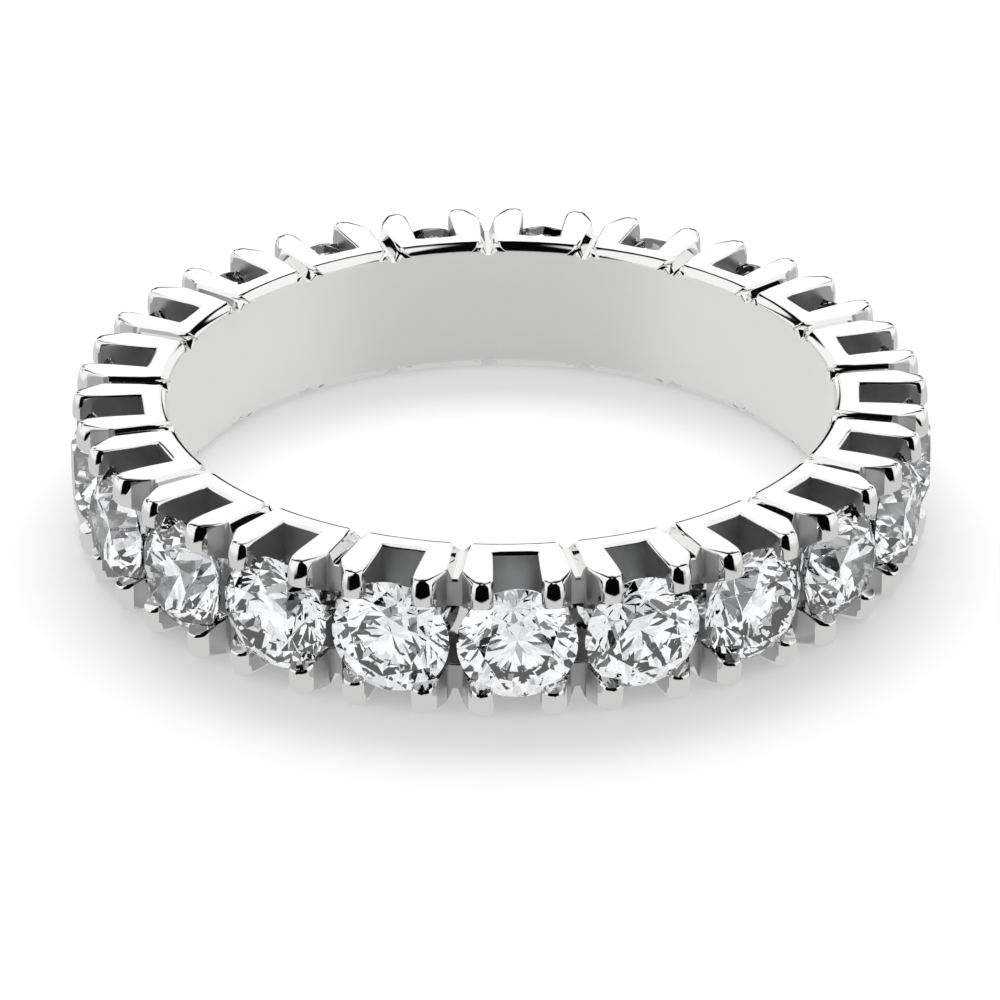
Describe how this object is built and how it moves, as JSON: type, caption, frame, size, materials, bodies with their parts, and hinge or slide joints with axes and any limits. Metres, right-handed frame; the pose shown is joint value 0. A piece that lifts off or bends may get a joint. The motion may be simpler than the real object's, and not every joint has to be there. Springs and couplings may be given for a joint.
{
  "type": "full eternity ring with round stones",
  "caption": "Full eternity ring in polished white metal, with a circle of equal round brilliant stones, each held by prong noses in an open castle-cut setting.",
  "frame": {"origin": "centre of the finger hole, at the ring's mid-height", "axes": "+Z along the finger axis, with the ring lying flat; one setting is centred on -Y"},
  "size_m": [0.0224, 0.0222, 0.0038],
  "materials": {
    "white_metal": "mirror-polished white gold, a little softer on the inner wall",
    "stone": "clear colourless brilliant-cut facets"
  },
  "bodies": {
    "root": {"band": "white_metal", "stone_01": "stone", "stone_02": "stone", "stone_03": "stone", "stone_04": "stone", "stone_05": "stone", "stone_06": "stone", "stone_07": "stone", "stone_08": "stone", "stone_09": "stone", "stone_10": "stone", "stone_11": "stone", "stone_12": "stone", "stone_13": "stone", "stone_14": "stone", "stone_15": "stone", "stone_16": "stone", "stone_17": "stone", "stone_18": "stone", "stone_19": "stone", "stone_20": "stone", "stone_21": "stone"}
  },
  "joints": []
}
